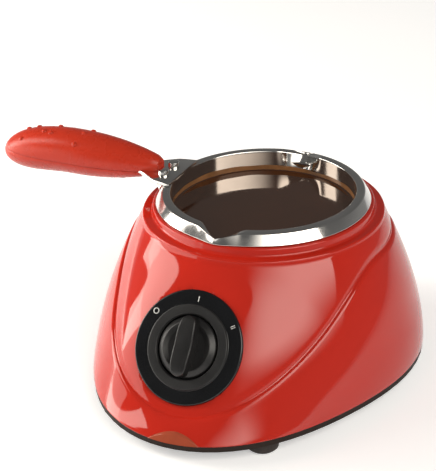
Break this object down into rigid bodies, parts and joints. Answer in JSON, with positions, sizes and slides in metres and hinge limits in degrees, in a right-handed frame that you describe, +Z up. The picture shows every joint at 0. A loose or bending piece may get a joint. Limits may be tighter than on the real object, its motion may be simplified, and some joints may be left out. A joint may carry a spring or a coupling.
{
  "type": "electric chocolate melting pot",
  "caption": "Small electric melting pot with a swept red housing, rotary dial, heated well and a lift-out steel pot with pouring lips and a moulded handle.",
  "frame": {"origin": "on the vertical axis of the pot, on the surface that the feet stand on", "axes": "+Z up; -Y is the front, with the dial and the lamp; the handle points along -X"},
  "size_m": [0.2444, 0.2015, 0.1076],
  "materials": {
    "red_shell": "high gloss moulded",
    "red_grip": "satin moulded",
    "dark_base": "matt moulded",
    "foot_rubber": "matt",
    "zinc_screws": "zinc plated",
    "polished_steel": "polished stainless steel",
    "cast_plate": "as cast, machined top",
    "element_sheath": "oxidised sheath",
    "pressed_steel": "pressed, plain",
    "ceramic": "unglazed",
    "nylon": "plain moulded",
    "brass": "plain",
    "dial_black": "gloss with a satin ring",
    "knob_black": "satin moulded",
    "lens": "translucent brown red",
    "lamp_glass": "clear glass",
    "bushing_rubber": "matt",
    "wire_brown": "plain sleeve",
    "wire_blue": "plain sleeve",
    "wire_black": "plain sleeve",
    "wire_green": "plain sleeve"
  },
  "bodies": {
    "root": {"housing": "red_shell", "base_plate": "dark_base", "feet": "foot_rubber", "base_screws": "zinc_screws", "well_liner": "polished_steel", "heating_plate": "cast_plate", "heating_element": "element_sheath", "thermostat": "ceramic", "thermostat_bridge": "pressed_steel", "thermal_fuse": "ceramic", "fuse_clip": "pressed_steel", "stud_nuts": "zinc_screws", "heat_shield": "pressed_steel", "well_standoffs": "zinc_screws", "standoff_screws": "zinc_screws", "dial_plate": "dial_black", "switch_body": "nylon", "switch_bush": "pressed_steel", "switch_nut": "zinc_screws", "switch_terminals": "brass", "indicator_lens": "lens", "neon_lamp": "lamp_glass", "lamp_holder": "nylon", "terminal_block": "nylon", "terminal_screws": "brass", "cord_bushing": "bushing_rubber", "cord_clamp": "nylon", "cord_clamp_screws": "zinc_screws", "earth_tag": "brass", "wire_live": "wire_brown", "wire_neutral": "wire_blue", "wire_switched": "wire_black", "wire_fuse": "wire_black", "wire_element": "wire_black", "wire_lamp": "wire_black", "wire_earth": "wire_green"},
    "knob": {"knob": "knob_black", "switch_spindle": "brass"},
    "pot": {"pot_bowl": "polished_steel", "handle_bracket": "polished_steel", "bracket_rivets": "polished_steel", "handle_upper": "red_grip", "handle_lower": "red_grip", "handle_screws": "zinc_screws"}
  },
  "joints": [
    {"name": "knob_turn", "type": "hinge", "parent": "root", "child": "knob", "pos_m": [0, -0.08998, 0.0459], "axis": [0, -0.8192, 0.5736], "range_deg": [-56, 56]},
    {"name": "pot_lift", "type": "slide", "parent": "root", "child": "pot", "axis": [0, 0, 1], "range_m": [0, 0.09]}
  ]
}
